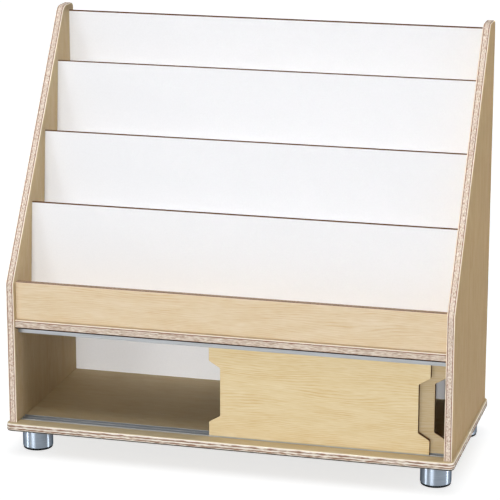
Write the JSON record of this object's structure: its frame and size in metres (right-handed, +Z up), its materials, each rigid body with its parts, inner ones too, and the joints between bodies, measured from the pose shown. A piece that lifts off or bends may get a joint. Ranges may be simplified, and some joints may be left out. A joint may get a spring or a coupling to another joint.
{
  "type": "book rack",
  "caption": "Low plywood book display rack: leaning white dividers step back between sloping sides above a cupboard with bypass sliding doors, on round metal feet.",
  "frame": {"origin": "on the floor, under the middle of the base board", "axes": "+X to the right as seen from the front, +Y from the front to the back, +Z up"},
  "size_m": [0.914, 0.411, 0.86],
  "materials": {
    "birch_ply": "clear satin lacquer",
    "white_board": "white laminate, raw brown edges",
    "aluminium": "satin anodised",
    "foot_steel": "bright chrome",
    "black_plastic": "matt",
    "zinc_steel": "zinc plated",
    "beech": "raw"
  },
  "bodies": {
    "carcass": {"left_side_panel": "birch_ply", "right_side_panel": "birch_ply", "base_board": "birch_ply", "shelf_board": "birch_ply", "front_lip": "birch_ply", "front_tier_floor": "birch_ply", "middle_tier_floor": "birch_ply", "rear_tier_floor": "birch_ply", "back_panel": "white_board", "front_divider": "white_board", "middle_divider": "white_board", "rear_divider": "white_board", "upper_track": "aluminium", "lower_track": "aluminium", "foot_sleeve_front_left": "foot_steel", "foot_glide_front_left": "black_plastic", "foot_bolt_front_left": "zinc_steel", "foot_insert_front_left": "zinc_steel", "foot_sleeve_front_right": "foot_steel", "foot_glide_front_right": "black_plastic", "foot_bolt_front_right": "zinc_steel", "foot_insert_front_right": "zinc_steel", "foot_sleeve_rear_left": "foot_steel", "foot_glide_rear_left": "black_plastic", "foot_bolt_rear_left": "zinc_steel", "foot_insert_rear_left": "zinc_steel", "foot_sleeve_rear_right": "foot_steel", "foot_glide_rear_right": "black_plastic", "foot_bolt_rear_right": "zinc_steel", "foot_insert_rear_right": "zinc_steel", "base_screw_1": "zinc_steel", "base_screw_2": "zinc_steel", "base_screw_3": "zinc_steel", "base_screw_4": "zinc_steel", "base_screw_5": "zinc_steel", "base_screw_6": "zinc_steel", "upper_track_screw_1": "zinc_steel", "upper_track_screw_2": "zinc_steel", "upper_track_screw_3": "zinc_steel", "upper_track_screw_4": "zinc_steel", "upper_track_screw_5": "zinc_steel", "lip_dowel_1": "beech", "lip_dowel_2": "beech", "lip_dowel_3": "beech", "lip_dowel_4": "beech"},
    "front_door": {"front_door": "birch_ply"},
    "rear_door": {"rear_door": "birch_ply"}
  },
  "joints": [
    {"name": "front_door_slide", "type": "slide", "parent": "carcass", "child": "front_door", "axis": [1, 0, 0], "range_m": [-0.3932, 0.0318]},
    {"name": "rear_door_slide", "type": "slide", "parent": "carcass", "child": "rear_door", "axis": [1, 0, 0], "range_m": [-0.4225, 0.0025]}
  ]
}
